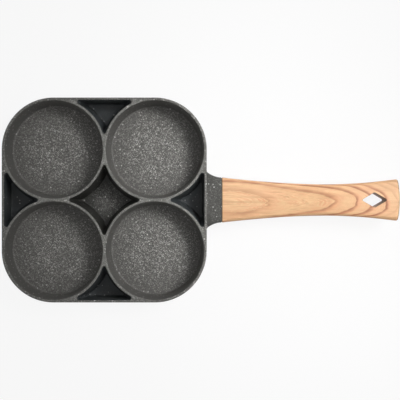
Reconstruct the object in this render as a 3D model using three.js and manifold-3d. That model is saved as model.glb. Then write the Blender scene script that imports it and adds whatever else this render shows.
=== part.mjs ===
// Four-cup egg pan: one die casting with four round cups, five pockets and a short neck,
// and a wooden handle that slides over the casting's tang and is held by a screw from below.
// Millimetres, +Z up. The origin is the centre of the pan's flat underside, and +X runs along the handle.

import * as THREE from "three";
import { mergeVertices } from "three/addons/utils/BufferGeometryUtils.js";
import Module from "manifold-3d";

const wasm = await Module();
wasm.setup();

const { degToRad, lerp, smoothstep } = THREE.MathUtils;

// Cups
const CUP_MOUTH_RADIUS = 45.5;
const CUP_DEPTH = 24;
const CUP_DRAFT = degToRad(6);
const CUP_FLOOR_FILLET = 2.2;
const WEB_BETWEEN_CUPS = 2.8;

// Skirt round the outside
const FLOOR_THICKNESS = 4;
const RIM_WALL = 2.6;
const SKIRT_WALL = 2.3;
const SKIRT_DRAFT = degToRad(3);
const BASE_EDGE_RADIUS = 5;
const LIP_RADIUS = 0.9;

// Pockets between the cups
const POCKET_WALL = 2.4;
const POCKET_FLOOR_THICKNESS = 4;
const POCKET_DRAFT = degToRad(8);
const POCKET_FLOOR_FILLET = 2;
const POCKET_TIP_RADIUS = 1.8;
const POCKET_CORNER_RADIUS = 2;

// Neck and tang, cast in one with the cups
const NECK_LENGTH = 14;
const NECK_DROP = 2;
const NECK_FLARE = 5.2;
const TANG_LENGTH = 36;
const TANG_WIDTH = 16;
const TANG_THICKNESS = 7;

// Screw and washers that hold the handle
const SCREW_DIAMETER = 5;
const SCREW_FROM_TANG_END = 16;
const SCREW_SHORT_OF_TANG_TOP = 1;
const SCREW_POINT_CHAMFER = 0.6;
const SCREW_HEAD_RADIUS = 4.6;
const SCREW_HEAD_HEIGHT = 2.8;
const SCREW_HEAD_ROUND = 1.6;
const DRIVE_SLOT_LENGTH = 4.6;
const DRIVE_SLOT_WIDTH = 1.2;
const DRIVE_SLOT_DEPTH = 1.4;
const FLAT_WASHER_RADIUS = 5.2;
const FLAT_WASHER_THICKNESS = 0.9;
const SPRING_WASHER_RADIUS = 4.5;
const SPRING_WASHER_THICKNESS = 1.2;
const SPRING_WASHER_SPLIT = 0.8;

// Wooden handle
const HANDLE_LENGTH = 162.8;
const HANDLE_FRONT_WIDTH = 42;
const HANDLE_WAIST_WIDTH = 29;
const HANDLE_END_WIDTH = 38;
const WAIST_FROM_FRONT = 96;
const FRONT_SWEEP = 58;
const END_SWEEP = 38;
const HANDLE_WAIST_THICKNESS = 18.5;
const HANDLE_END_THICKNESS = 21.5;
const HANDLE_EDGE_RADIUS = 3.5;
const HANDLE_END_ROUND = 1.4;
const HANDLE_RISE = 10.5;
const LEVEL_STRETCH = 40;
const END_BOW = 1.8;
const END_ROUND_SWEEP = degToRad(72);
const WOOD_OVER_TANG = 4.7;
const SCREW_SEAT = 3;
const HEAD_RECESS = 0.6;
const HOLE_LENGTH = 21.4;
const HOLE_WIDTH = 13.6;
const HOLE_CORNER_RADIUS = 1.2;
const HOLE_FROM_END = 23.1;

// Clearance all round a piece that slides into another
const FIT_GAP = 0.3;

// Sides and steps of the facets
const CUP_SIDES = 44;
const ROUND_STEPS = 3;
const POCKET_ARC_STEPS = 9;
const CORNER_STEPS = 10;
const SECTION_STEPS = 4;
const FACE_STEPS = 4;
const NECK_STEPS = 5;
const HANDLE_STEPS = 9;
const END_STEPS = 4;
const SCREW_SIDES = 24;

// How far a cutting shape runs past the face that it opens
const CUT_PAST = 2;

// Points closer than this are one point
const SAME_POINT = 1e-5;

const QUARTER = Math.PI / 2;
const QUARTER_TURNS = [0, 1, 2, 3].map((count) => count * QUARTER);
const CENTRE = new THREE.Vector2();

const cupOffset = CUP_MOUTH_RADIUS + WEB_BETWEEN_CUPS / 2;
const cornerRadius = CUP_MOUTH_RADIUS + RIM_WALL;
const panHalf = cupOffset + cornerRadius;
const rimZ = FLOOR_THICKNESS + CUP_DEPTH;
const neckEndX = panHalf + NECK_LENGTH;
const neckTopZ = rimZ - NECK_DROP;
const counterboreDepth = FLAT_WASHER_THICKNESS + SPRING_WASHER_THICKNESS + SCREW_HEAD_HEIGHT + HEAD_RECESS;
const mortiseHeight = TANG_THICKNESS + 2 * FIT_GAP;
const mortiseWidth = TANG_WIDTH + 2 * FIT_GAP;
const mortiseDepth = TANG_LENGTH + FIT_GAP;
const frontThickness = WOOD_OVER_TANG + mortiseHeight + SCREW_SEAT + counterboreDepth;
const screwX = TANG_LENGTH - SCREW_FROM_TANG_END;
const screwHoleRadius = SCREW_DIAMETER / 2 + FIT_GAP;
const counterboreRadius = FLAT_WASHER_RADIUS + FIT_GAP;
// Heights in the handle's own frame, whose zero is the top of its front face
const tangTopZ = -WOOD_OVER_TANG - FIT_GAP;
const mortiseFloorZ = -WOOD_OVER_TANG - mortiseHeight;
const seatZ = mortiseFloorZ - SCREW_SEAT;

// Solids from geometry, and geometry from solids
function solid(geometry) {
  const bare = geometry.clone();
  bare.deleteAttribute("normal");
  bare.deleteAttribute("uv");
  const merged = mergeVertices(bare, SAME_POINT);
  const mesh = new wasm.Mesh({
    numProp: 3,
    vertProperties: new Float32Array(merged.attributes.position.array),
    triVerts: new Uint32Array(merged.index.array),
  });
  return new wasm.Manifold(mesh);
}

function geometryOf(manifold) {
  const mesh = manifold.getMesh();
  const geometry = new THREE.BufferGeometry();
  geometry.setAttribute("position", new THREE.BufferAttribute(mesh.vertProperties, 3));
  geometry.setIndex(new THREE.BufferAttribute(mesh.triVerts, 1));
  geometry.computeVertexNormals();
  return geometry;
}

// A closed skin over rings of points, all with the same count, each end closed by a fan.
// Seen from beyond the last ring, each ring runs anticlockwise.
function loft(rings) {
  const count = rings[0].length;
  const middles = [rings[0], rings.at(-1)].map((ring) =>
    ring.reduce((sum, point) => sum.add(point), new THREE.Vector3()).divideScalar(count),
  );
  const firstMiddle = rings.length * count;
  const lastMiddle = firstMiddle + 1;
  const lastRing = firstMiddle - count;
  const index = [];
  for (let i = 0; i < count; i++) {
    const next = (i + 1) % count;
    index.push(firstMiddle, next, i);
    index.push(lastMiddle, lastRing + i, lastRing + next);
    for (let start = 0; start < lastRing; start += count) {
      index.push(start + i, start + next, start + count + next);
      index.push(start + i, start + count + next, start + count + i);
    }
  }
  const geometry = new THREE.BufferGeometry().setFromPoints([...rings.flat(), ...middles]);
  geometry.setIndex(index);
  return geometry;
}

function arc(x, y, radius, from, to, steps) {
  return new THREE.EllipseCurve(x, y, radius, radius, from, to, to < from).getPoints(steps);
}

// Arcs joined end to end into one closed outline, each shared end kept once.
function joined(...arcs) {
  const points = arcs.flat();
  return points.filter((point, i) => point.distanceTo(points.at(i - 1)) > SAME_POINT);
}

const level = (outline, z) => outline.map((point) => new THREE.Vector3(point.x, point.y, z));
const across = (outline, x) => outline.map((point) => new THREE.Vector3(x, point.x, point.y));

const straight = (from, to, steps) => new THREE.LineCurve(from, to).getPoints(steps);

// A bar's section with rounded edges and points along its wide faces.
function roundedBar(halfWidth, bottom, top, radius) {
  const side = halfWidth - radius;
  const [leftTop, rightTop] = [-side, side].map((x) => new THREE.Vector2(x, top));
  const [leftBottom, rightBottom] = [-side, side].map((x) => new THREE.Vector2(x, bottom));
  return joined(
    arc(side, top - radius, radius, 0, QUARTER, SECTION_STEPS),
    straight(rightTop, leftTop, FACE_STEPS),
    arc(-side, top - radius, radius, QUARTER, 2 * QUARTER, SECTION_STEPS),
    arc(-side, bottom + radius, radius, 2 * QUARTER, 3 * QUARTER, SECTION_STEPS),
    straight(leftBottom, rightBottom, FACE_STEPS),
    arc(side, bottom + radius, radius, 3 * QUARTER, 4 * QUARTER, SECTION_STEPS),
  );
}

function upright(radius, from, to) {
  const cylinder = new THREE.CylinderGeometry(radius, radius, to - from, SCREW_SIDES);
  return cylinder.rotateX(QUARTER).translate(0, 0, (from + to) / 2);
}

// Section of a hollow, from its floor to past the rim: x is how far it stands in from its mouth, y is height.
function hollowProfile(floorZ, draft, fillet) {
  const lean = Math.tan(draft);
  const reach = 1 / Math.cos(draft);
  const filletX = (rimZ - floorZ - fillet) * lean + fillet * reach;
  const lipX = LIP_RADIUS * (lean - reach);
  return joined(
    arc(filletX, floorZ + fillet, fillet, 3 * QUARTER, 2 * QUARTER + draft, ROUND_STEPS),
    arc(lipX, rimZ - LIP_RADIUS, LIP_RADIUS, draft, QUARTER, ROUND_STEPS),
    [new THREE.Vector2(lipX, rimZ + CUT_PAST)],
  );
}

// The same kind of section for the outside of the skirt, from the underside to the rim.
function skirtProfile() {
  const lean = Math.tan(SKIRT_DRAFT);
  const reach = 1 / Math.cos(SKIRT_DRAFT);
  const wall = 2 * QUARTER + SKIRT_DRAFT;
  const baseX = (rimZ - BASE_EDGE_RADIUS) * lean + BASE_EDGE_RADIUS * reach;
  const lipX = LIP_RADIUS * (lean + reach);
  return joined(
    arc(baseX, BASE_EDGE_RADIUS, BASE_EDGE_RADIUS, 3 * QUARTER, wall, ROUND_STEPS + 1),
    arc(lipX, rimZ - LIP_RADIUS, LIP_RADIUS, wall, QUARTER, ROUND_STEPS),
  );
}

// Four corners that share their centres with the cups.
function skirtOutline(inset) {
  const corners = QUARTER_TURNS.map((turn) => {
    const { x, y } = new THREE.Vector2(cupOffset, cupOffset).rotateAround(CENTRE, turn);
    return arc(x, y, cornerRadius - inset, turn, turn + QUARTER, CORNER_STEPS);
  });
  return joined(...corners);
}

function skirt() {
  return solid(loft(skirtProfile().map((point) => level(skirtOutline(point.x), point.y))));
}

function cupHollow() {
  const wall = hollowProfile(FLOOR_THICKNESS, CUP_DRAFT, CUP_FLOOR_FILLET);
  const profile = [
    new THREE.Vector2(0, FLOOR_THICKNESS),
    ...wall.map((point) => new THREE.Vector2(CUP_MOUTH_RADIUS - point.x, point.y)),
    new THREE.Vector2(0, rimZ + CUT_PAST),
  ];
  return new THREE.LatheGeometry(profile, CUP_SIDES).rotateX(QUARTER);
}

// Where two cups' walls, set in by the same distance, leave room for a rounded tip between them.
function tip(wallRadius) {
  const along = Math.sqrt((wallRadius + POCKET_TIP_RADIUS) ** 2 - cupOffset ** 2);
  return { along, turn: Math.atan2(cupOffset, along) };
}

// The four-pointed pocket in the middle.
function starOutline(inset) {
  const wallRadius = CUP_MOUTH_RADIUS + POCKET_WALL + inset;
  const { along, turn } = tip(wallRadius);
  const quarter = [
    ...arc(cupOffset - along, 0, POCKET_TIP_RADIUS, -turn, turn, POCKET_ARC_STEPS),
    ...arc(cupOffset, cupOffset, wallRadius, 2 * QUARTER + turn, 3 * QUARTER - turn, POCKET_ARC_STEPS),
  ];
  const quarters = QUARTER_TURNS.map((angle) =>
    quarter.map((point) => point.clone().rotateAround(CENTRE, angle)),
  );
  return joined(...quarters);
}

// The three-cornered pocket on the +X side, between two cups and the skirt.
function sideOutline(inset, skirtInset) {
  const wallRadius = CUP_MOUTH_RADIUS + POCKET_WALL + inset;
  const { along, turn } = tip(wallRadius);
  const cornerX = panHalf - SKIRT_WALL - skirtInset - POCKET_CORNER_RADIUS;
  const cornerDrop = Math.sqrt((wallRadius + POCKET_CORNER_RADIUS) ** 2 - (cornerX - cupOffset) ** 2);
  const cornerY = cupOffset - cornerDrop;
  const bend = Math.atan2(cornerDrop, cupOffset - cornerX);
  const half = 2 * QUARTER;
  return joined(
    arc(cornerX, cornerY, POCKET_CORNER_RADIUS, 0, bend, POCKET_ARC_STEPS),
    arc(cupOffset, cupOffset, wallRadius, bend - half, -turn, POCKET_ARC_STEPS),
    arc(cupOffset + along, 0, POCKET_TIP_RADIUS, half - turn, half + turn, POCKET_ARC_STEPS),
    arc(cupOffset, -cupOffset, wallRadius, turn, half - bend, POCKET_ARC_STEPS),
    arc(cornerX, -cornerY, POCKET_CORNER_RADIUS, -bend, 0, POCKET_ARC_STEPS),
  );
}

// A side pocket's outer wall leans with the skirt, so that the skirt keeps its thickness.
function pocketHollow(outline) {
  const lessLean = Math.tan(POCKET_DRAFT) - Math.tan(SKIRT_DRAFT);
  const profile = hollowProfile(POCKET_FLOOR_THICKNESS, POCKET_DRAFT, POCKET_FLOOR_FILLET);
  return loft(
    profile.map((point) => {
      const skirtInset = point.x - Math.max(0, rimZ - point.y) * lessLean;
      return level(outline(point.x, skirtInset), point.y);
    }),
  );
}

// The neck narrows from its root inside the skirt to the handle's front face.
function neck() {
  const rootX = panHalf - BASE_EDGE_RADIUS - rimZ * Math.tan(SKIRT_DRAFT);
  const endHalf = HANDLE_FRONT_WIDTH / 2;
  const flare = new THREE.QuadraticBezierCurve(
    new THREE.Vector2(panHalf, endHalf + NECK_FLARE),
    new THREE.Vector2((panHalf + neckEndX) / 2, endHalf),
    new THREE.Vector2(neckEndX, endHalf),
  );
  const root = new THREE.Vector2(rootX, endHalf + NECK_FLARE);
  const stations = [root, ...flare.getPoints(NECK_STEPS)];
  const bottom = neckTopZ - frontThickness;
  return solid(
    loft(stations.map(({ x, y }) => across(roundedBar(y, bottom, neckTopZ, HANDLE_EDGE_RADIUS), x))),
  );
}

// The tang reaches back into the neck by its own thickness, so that the two are one casting.
function tang() {
  const length = TANG_LENGTH + TANG_THICKNESS;
  const top = neckTopZ + tangTopZ;
  const bar = new THREE.BoxGeometry(length, TANG_WIDTH, TANG_THICKNESS);
  bar.translate(neckEndX + TANG_LENGTH - length / 2, 0, top - TANG_THICKNESS / 2);
  const tapping = upright(screwHoleRadius, top - TANG_THICKNESS - CUT_PAST, top + CUT_PAST);
  return { bar: solid(bar), hole: solid(tapping.translate(neckEndX + screwX, 0, 0)) };
}

function panCasting() {
  const { bar, hole } = tang();
  let casting = skirt().add(neck()).add(bar).subtract(hole);
  for (const x of [-cupOffset, cupOffset]) {
    for (const y of [-cupOffset, cupOffset]) {
      casting = casting.subtract(solid(cupHollow().translate(x, y, 0)));
    }
  }
  casting = casting.subtract(solid(pocketHollow(starOutline)));
  for (const turn of QUARTER_TURNS) {
    casting = casting.subtract(solid(pocketHollow(sideOutline).rotateZ(turn)));
  }
  return geometryOf(casting);
}

// Half width and place of the handle's sections, from its front face to its far end
function handleStations() {
  const front = new THREE.Vector2(0, HANDLE_FRONT_WIDTH / 2);
  const waist = new THREE.Vector2(WAIST_FROM_FRONT, HANDLE_WAIST_WIDTH / 2);
  const end = new THREE.Vector2(HANDLE_LENGTH - HANDLE_END_ROUND, HANDLE_END_WIDTH / 2);
  const frontSweep = new THREE.Vector2(FRONT_SWEEP, waist.y);
  const endSweep = new THREE.Vector2(HANDLE_LENGTH - END_SWEEP, waist.y);
  return [
    ...new THREE.QuadraticBezierCurve(front, frontSweep, waist).getPoints(HANDLE_STEPS),
    ...new THREE.QuadraticBezierCurve(waist, endSweep, end).getPoints(HANDLE_STEPS).slice(1),
  ];
}

// The handle is level over the tang, rises through the grip and is level again round the hanging hole.
function handleMiddleZ(x) {
  const rise = smoothstep(x, mortiseDepth, HANDLE_LENGTH - LEVEL_STRETCH);
  return HANDLE_RISE * rise - frontThickness / 2;
}

function handleThickness(x) {
  const grip = lerp(frontThickness, HANDLE_WAIST_THICKNESS, smoothstep(x, mortiseDepth, WAIST_FROM_FRONT));
  return lerp(grip, HANDLE_END_THICKNESS, smoothstep(x, WAIST_FROM_FRONT, HANDLE_LENGTH));
}

// One section, drawn in by an inset; its end bows towards the middle of the handle's width.
function handleSection(x, halfWidth, inset) {
  const middle = handleMiddleZ(x);
  const half = handleThickness(x) / 2 - inset;
  const bow = END_BOW * smoothstep(x, HANDLE_LENGTH - END_SWEEP, HANDLE_LENGTH);
  const bar = roundedBar(halfWidth - inset, middle - half, middle + half, HANDLE_EDGE_RADIUS - inset);
  return bar.map((point) => {
    const back = bow * (point.x / halfWidth) ** 2;
    return new THREE.Vector3(x - back, point.x, point.y);
  });
}

function handleBlank() {
  const stations = handleStations();
  const rings = stations.map(({ x, y }) => handleSection(x, y, 0));
  const end = stations.at(-1);
  for (let step = 1; step <= END_STEPS; step++) {
    const angle = (END_ROUND_SWEEP * step) / END_STEPS;
    const stretch = HANDLE_END_ROUND * (Math.sin(angle) / Math.sin(END_ROUND_SWEEP));
    rings.push(handleSection(end.x + stretch, end.y, HANDLE_END_ROUND * (1 - Math.cos(angle))));
  }
  return solid(loft(rings));
}

// A diamond with rounded corners, its long way along the handle.
function hangingHole() {
  const longReach = HOLE_LENGTH / 2 - HOLE_CORNER_RADIUS;
  const shortReach = HOLE_WIDTH / 2 - HOLE_CORNER_RADIUS;
  const side = Math.atan2(longReach, shortReach);
  const outline = joined(
    arc(longReach, 0, HOLE_CORNER_RADIUS, -side, side, SECTION_STEPS),
    arc(0, shortReach, HOLE_CORNER_RADIUS, side, 2 * QUARTER - side, SECTION_STEPS),
    arc(-longReach, 0, HOLE_CORNER_RADIUS, 2 * QUARTER - side, 2 * QUARTER + side, SECTION_STEPS),
    arc(0, -shortReach, HOLE_CORNER_RADIUS, 2 * QUARTER + side, 4 * QUARTER - side, SECTION_STEPS),
  );
  const x = HANDLE_LENGTH - HOLE_FROM_END;
  const depth = handleThickness(x) + 2 * CUT_PAST;
  const cut = new THREE.ExtrudeGeometry(new THREE.Shape(outline), { depth, bevelEnabled: false });
  return solid(cut.translate(x, 0, handleMiddleZ(x) - depth / 2));
}

function handle() {
  const mortise = new THREE.BoxGeometry(mortiseDepth + CUT_PAST, mortiseWidth, mortiseHeight);
  mortise.translate((mortiseDepth - CUT_PAST) / 2, 0, mortiseFloorZ + mortiseHeight / 2);
  const screwHole = upright(screwHoleRadius, seatZ - CUT_PAST, mortiseFloorZ + FIT_GAP);
  const counterbore = upright(counterboreRadius, -frontThickness - CUT_PAST, seatZ);
  const blank = handleBlank()
    .subtract(solid(mortise))
    .subtract(solid(screwHole.translate(screwX, 0, 0)))
    .subtract(solid(counterbore.translate(screwX, 0, 0)))
    .subtract(hangingHole());
  return geometryOf(blank);
}

// Fixings hang below the seat of the counterbore, which is the zero of their own frame.
const washerStack = FLAT_WASHER_THICKNESS + SPRING_WASHER_THICKNESS;

function ring(innerRadius, outerRadius, top, thickness) {
  const profile = [
    new THREE.Vector2(innerRadius, top - thickness),
    new THREE.Vector2(outerRadius, top - thickness),
    new THREE.Vector2(outerRadius, top),
    new THREE.Vector2(innerRadius, top),
    new THREE.Vector2(innerRadius, top - thickness),
  ];
  return new THREE.LatheGeometry(profile, SCREW_SIDES).rotateX(QUARTER);
}

function flatWasher() {
  return ring(screwHoleRadius, FLAT_WASHER_RADIUS, 0, FLAT_WASHER_THICKNESS);
}

function springWasher() {
  const whole = ring(screwHoleRadius, SPRING_WASHER_RADIUS, -FLAT_WASHER_THICKNESS, SPRING_WASHER_THICKNESS);
  const split = new THREE.BoxGeometry(SPRING_WASHER_RADIUS + CUT_PAST, SPRING_WASHER_SPLIT, 2 * washerStack);
  split.translate((SPRING_WASHER_RADIUS + CUT_PAST) / 2, 0, -washerStack);
  return geometryOf(solid(whole).subtract(solid(split)));
}

function handleScrew() {
  const shankRadius = SCREW_DIAMETER / 2;
  const tipZ = SCREW_SEAT + FIT_GAP + TANG_THICKNESS - SCREW_SHORT_OF_TANG_TOP;
  const headTop = -washerStack;
  const headBottom = headTop - SCREW_HEAD_HEIGHT;
  const roundX = SCREW_HEAD_RADIUS - SCREW_HEAD_ROUND;
  const roundZ = headBottom + SCREW_HEAD_ROUND;
  const profile = [
    new THREE.Vector2(0, headBottom),
    ...arc(roundX, roundZ, SCREW_HEAD_ROUND, -QUARTER, 0, ROUND_STEPS),
    new THREE.Vector2(SCREW_HEAD_RADIUS, headTop),
    new THREE.Vector2(shankRadius, headTop),
    new THREE.Vector2(shankRadius, tipZ - SCREW_POINT_CHAMFER),
    new THREE.Vector2(shankRadius - SCREW_POINT_CHAMFER, tipZ),
    new THREE.Vector2(0, tipZ),
  ];
  let screw = solid(new THREE.LatheGeometry(profile, SCREW_SIDES).rotateX(QUARTER));
  for (const turn of [0, QUARTER]) {
    const slot = new THREE.BoxGeometry(DRIVE_SLOT_LENGTH, DRIVE_SLOT_WIDTH, 2 * DRIVE_SLOT_DEPTH);
    screw = screw.subtract(solid(slot.rotateZ(turn).translate(0, 0, headBottom)));
  }
  return geometryOf(screw);
}

function part(name, geometry, color, roughness, metalness) {
  const mesh = new THREE.Mesh(geometry, new THREE.MeshStandardMaterial({ color, roughness, metalness }));
  mesh.name = name;
  return mesh;
}

const fixings = new THREE.Group();
fixings.position.set(screwX, 0, seatZ);
fixings.add(
  part("flat_washer", flatWasher(), "#b9bbbd", 0.35, 1),
  part("spring_washer", springWasher(), "#a3a5a8", 0.4, 1),
  part("handle_screw", handleScrew(), "#c2c4c6", 0.3, 1),
);

const handleGroup = new THREE.Group();
handleGroup.position.set(neckEndX, 0, neckTopZ);
handleGroup.add(part("handle", handle(), "#e9bd92", 0.55, 0), fixings);

const eggPan = new THREE.Group();
eggPan.add(part("pan_casting", panCasting(), "#4c4d4a", 0.5, 0.1), handleGroup);

export default eggPan;
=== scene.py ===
# %% [markdown]
# # A four-cup egg pan
# The pan is one die casting: four round cups, five closed pockets between them and a short neck. A
# waisted wooden handle slides over a tang behind the neck, and a screw with two washers holds it from
# below.
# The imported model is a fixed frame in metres. Each piece below is made at its own place in that frame, a
# little finer than the solid that it stands for, and then gets its finish.

# %% Load the frame
import math

import bmesh
import bpy
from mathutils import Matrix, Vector


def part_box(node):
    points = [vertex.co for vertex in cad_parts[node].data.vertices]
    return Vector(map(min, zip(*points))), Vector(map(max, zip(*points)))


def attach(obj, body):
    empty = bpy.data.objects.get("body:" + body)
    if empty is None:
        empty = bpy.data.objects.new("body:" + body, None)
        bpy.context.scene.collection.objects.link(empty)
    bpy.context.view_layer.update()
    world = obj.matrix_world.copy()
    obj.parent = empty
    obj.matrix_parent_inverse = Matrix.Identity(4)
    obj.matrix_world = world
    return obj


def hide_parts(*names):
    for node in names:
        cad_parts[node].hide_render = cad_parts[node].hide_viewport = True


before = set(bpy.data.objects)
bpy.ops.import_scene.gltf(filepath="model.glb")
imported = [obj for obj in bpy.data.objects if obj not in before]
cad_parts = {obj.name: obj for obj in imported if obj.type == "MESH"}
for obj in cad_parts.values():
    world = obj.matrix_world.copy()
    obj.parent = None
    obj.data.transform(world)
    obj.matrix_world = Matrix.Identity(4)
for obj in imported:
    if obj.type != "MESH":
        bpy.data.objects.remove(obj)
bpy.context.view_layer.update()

MM = 0.001
_, pan_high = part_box("pan_casting")
handle_low, handle_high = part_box("handle")
rim_z = pan_high.z
neck_end = handle_low.x
print("nodes:", sorted(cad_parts))
print(f"rim {rim_z / MM:.1f} mm high, handle from {neck_end / MM:.1f} to {handle_high.x / MM:.1f} mm")

# %% [markdown]
# ## The camera
# The photograph looks straight down from above the middle of the whole length. A new camera in Blender
# already looks down with +Y at the top of the picture, so it only needs a place and a lens.
# The lens could be found by trial. It is quicker to measure how wide one pixel is on the rim: the lens is
# to the sensor as the height above the rim is to the width of the picture there.

# %% A camera over the pan
PHOTO_PIXELS = 400
PIXEL_ON_RIM = 0.9255 * MM
CAMERA_ABOVE_RIM = 804 * MM
CAMERA_X = 88.7 * MM

photo_camera = bpy.data.objects.new("photo_camera", bpy.data.cameras.new("photo_camera"))
bpy.context.collection.objects.link(photo_camera)
photo_camera.location = (CAMERA_X, 0, rim_z + CAMERA_ABOVE_RIM)
lens = photo_camera.data
lens.lens = lens.sensor_width * CAMERA_ABOVE_RIM / (PIXEL_ON_RIM * PHOTO_PIXELS)
bpy.context.scene.camera = photo_camera
print(f"camera {photo_camera.location.z / MM:.0f} mm up, lens {lens.lens:.1f} mm")

# %% [markdown]
# ## Nodes by the line
# Every finish is a tree of shader nodes. Placing them one socket at a time makes long code, so one helper
# adds a node and fills its sockets: a socket of another node is linked, and a plain value is set.
# The helper spread turns one range of numbers into another. A value whose name ends in SHARE, SHIFT or
# ROUGHNESS holds the four numbers for it: where the input starts and ends, and what comes out there.

# %% Helpers for shader nodes
def fill(tree, socket, value):
    if isinstance(value, bpy.types.NodeSocket):
        tree.links.new(value, socket)
    else:
        socket.default_value = value


def add_node(tree, kind, sockets=None, **settings):
    node = tree.nodes.new("ShaderNode" + kind)
    for name, value in settings.items():
        setattr(node, name, value)
    for name, value in (sockets or {}).items():
        fill(tree, node.inputs[name], value)
    return node


def calculate(tree, operation, *terms):
    return add_node(tree, "Math", dict(enumerate(terms)), operation=operation).outputs[0]


def calculate_vector(tree, operation, *terms):
    return add_node(tree, "VectorMath", dict(enumerate(terms)), operation=operation).outputs[0]


def mix_colours(tree, share, first, second):
    node = add_node(tree, "Mix", data_type="RGBA")
    sockets = [socket for socket in node.inputs if socket.enabled]
    for socket, value in zip(sockets, (share, first, second)):
        fill(tree, socket, value)
    return [socket for socket in node.outputs if socket.enabled][0]


def spread(tree, value, low, high, to_low, to_high):
    sockets = {"Value": value, "From Min": low, "From Max": high, "To Min": to_low, "To Max": to_high}
    return add_node(tree, "MapRange", sockets).outputs[0]


def new_finish(name):
    material = bpy.data.materials.new(name)
    material.use_nodes = True
    return material, material.node_tree, material.node_tree.nodes["Principled BSDF"]


print("node helpers ready")

# %% [markdown]
# ## Floor and light
# The photograph is a cut-out on white, lit from above the handle and a little to its side. The cups show
# two kinds of shadow, a crisp one and a wide soft one, so a lamp with a narrow beam and a broad soft one
# share a place. The floor could be lit until it turns white, but that would bleach the wood as well.
# Instead the floor tells camera rays from light rays: the camera sees it mostly as plain white, with part
# of its real shading left so that the pan keeps a soft shadow, and all other rays meet an ordinary pale
# floor.

# %% Pale floor
FLOOR_HALF = 40.0
FLOOR_BELOW = 0.1 * MM
FLOOR_PALE = (0.86, 0.86, 0.86, 1)
WHITE = (1, 1, 1, 1)
FULL_WHITE = 1
SHADOW_KEPT = 0.1


def background_rays(tree):
    path = add_node(tree, "LightPath").outputs
    seen = calculate(tree, "MAXIMUM", path["Is Camera Ray"], path["Is Glossy Ray"])
    return calculate(tree, "MAXIMUM", seen, path["Is Transmission Ray"])


def floor_finish():
    material, tree, _ = new_finish("pale_floor")
    tree.nodes.clear()
    matt = add_node(tree, "BsdfDiffuse", {"Color": FLOOR_PALE}).outputs[0]
    plain_white = add_node(tree, "Emission", {"Color": WHITE, "Strength": FULL_WHITE}).outputs[0]
    share = calculate(tree, "MULTIPLY", background_rays(tree), 1 - SHADOW_KEPT)
    both = add_node(tree, "MixShader", {0: share, 1: matt, 2: plain_white}).outputs[0]
    add_node(tree, "OutputMaterial", {"Surface": both})
    return material


floor_shape = bmesh.new()
bmesh.ops.create_grid(floor_shape, x_segments=1, y_segments=1, size=FLOOR_HALF)
floor_mesh = bpy.data.meshes.new("studio_floor")
floor_shape.to_mesh(floor_mesh)
floor_shape.free()
studio_floor = bpy.data.objects.new("studio_floor", floor_mesh)
studio_floor.location = (CAMERA_X, 0, -FLOOR_BELOW)
floor_mesh.materials.append(floor_finish())
bpy.context.collection.objects.link(studio_floor)
print("floor", 2 * FLOOR_HALF, "m wide")

# %% Lamps and surroundings
ROOM_LIGHT = 0.19
LAMP_PLACE = (0.468, 0.156, 0.503)
LAMP_AIM = (0.18, 0, 0.028)
KEY_LAMP = {"size": 0.4, "size_y": 0.2, "spread": math.radians(35), "energy": 0.24}
SOFT_LAMP = {"size": 0.6, "size_y": 0.6, "spread": math.radians(150), "energy": 0.95}


def add_lamp(name, settings):
    lamp = bpy.data.objects.new(name, bpy.data.lights.new(name, "AREA"))
    lamp.data.shape = "RECTANGLE"
    for setting, value in settings.items():
        setattr(lamp.data, setting, value)
    lamp.visible_camera = False
    lamp.location = LAMP_PLACE
    lamp.rotation_euler = (lamp.location - Vector(LAMP_AIM)).to_track_quat("Z", "Y").to_euler()
    bpy.context.collection.objects.link(lamp)


add_lamp("key_lamp", KEY_LAMP)
add_lamp("soft_lamp", SOFT_LAMP)

room = bpy.data.worlds.new("studio_room")
room.use_nodes = True
bpy.context.scene.world = room
room_tree = room.node_tree
room_tree.nodes.clear()
dim = add_node(room_tree, "Background", {"Color": WHITE, "Strength": ROOM_LIGHT}).outputs[0]
bright = add_node(room_tree, "Background", {"Color": WHITE, "Strength": FULL_WHITE}).outputs[0]
both_rooms = {0: background_rays(room_tree), 1: dim, 2: bright}
seen_room = add_node(room_tree, "MixShader", both_rooms).outputs[0]
add_node(room_tree, "OutputWorld", {"Surface": seen_room})
bpy.context.scene.view_settings.view_transform = "Standard"
print("lamps:", KEY_LAMP["energy"], "W in a beam,", SOFT_LAMP["energy"], "W all round")

# %% [markdown]
# ## From outlines to skins
# All the rigid shapes here are skins over rings: a skirt, a cup or a handle is one outline that changes a
# little from ring to ring. A subdivided box would need many supporting loops to hold such edges. Rings
# from arcs give an exact round wherever the real piece has one, and rows of quads between them.

# %% Helpers for outlines and skins
SAME_POINT = 1e-5 * MM
QUARTER = math.pi / 2


def arc(x, y, radius, start, end, steps):
    turns = [start + (end - start) * step / steps for step in range(steps + 1)]
    return [(x + radius * math.cos(turn), y + radius * math.sin(turn)) for turn in turns]


def circle(x, y, radius, sides):
    return arc(x, y, radius, 0, 4 * QUARTER, sides)[:-1]


def joined(*stretches):
    points = [point for stretch in stretches for point in stretch]
    pairs = zip(points, [points[-1], *points])
    return [point for point, before in pairs if math.dist(point, before) > SAME_POINT]


def turned(outline, turn):
    sine = math.sin(turn)
    cosine = math.cos(turn)
    return [(x * cosine - y * sine, x * sine + y * cosine) for x, y in outline]


def level(outline, z):
    return [(x, y, z) for x, y in outline]


def across(outline, x):
    return [(x, y, z) for y, z in outline]


def add_skin(shape, rings, ends):
    loops = [[shape.verts.new(point) for point in ring] for ring in rings]
    following = loops[1:] + loops[:1] if ends == "joined" else loops[1:]
    for below, above in zip(loops, following):
        for i in range(len(below)):
            shape.faces.new((below[i - 1], below[i], above[i], above[i - 1]))
    for loop in (loops[0], loops[-1]):
        if ends == "flat":
            shape.faces.new(loop)
        if ends == "strips":
            for i in range(len(loop) // 2 - 1):
                shape.faces.new((loop[i], loop[i + 1], loop[-i - 2], loop[-i - 1]))


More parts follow.
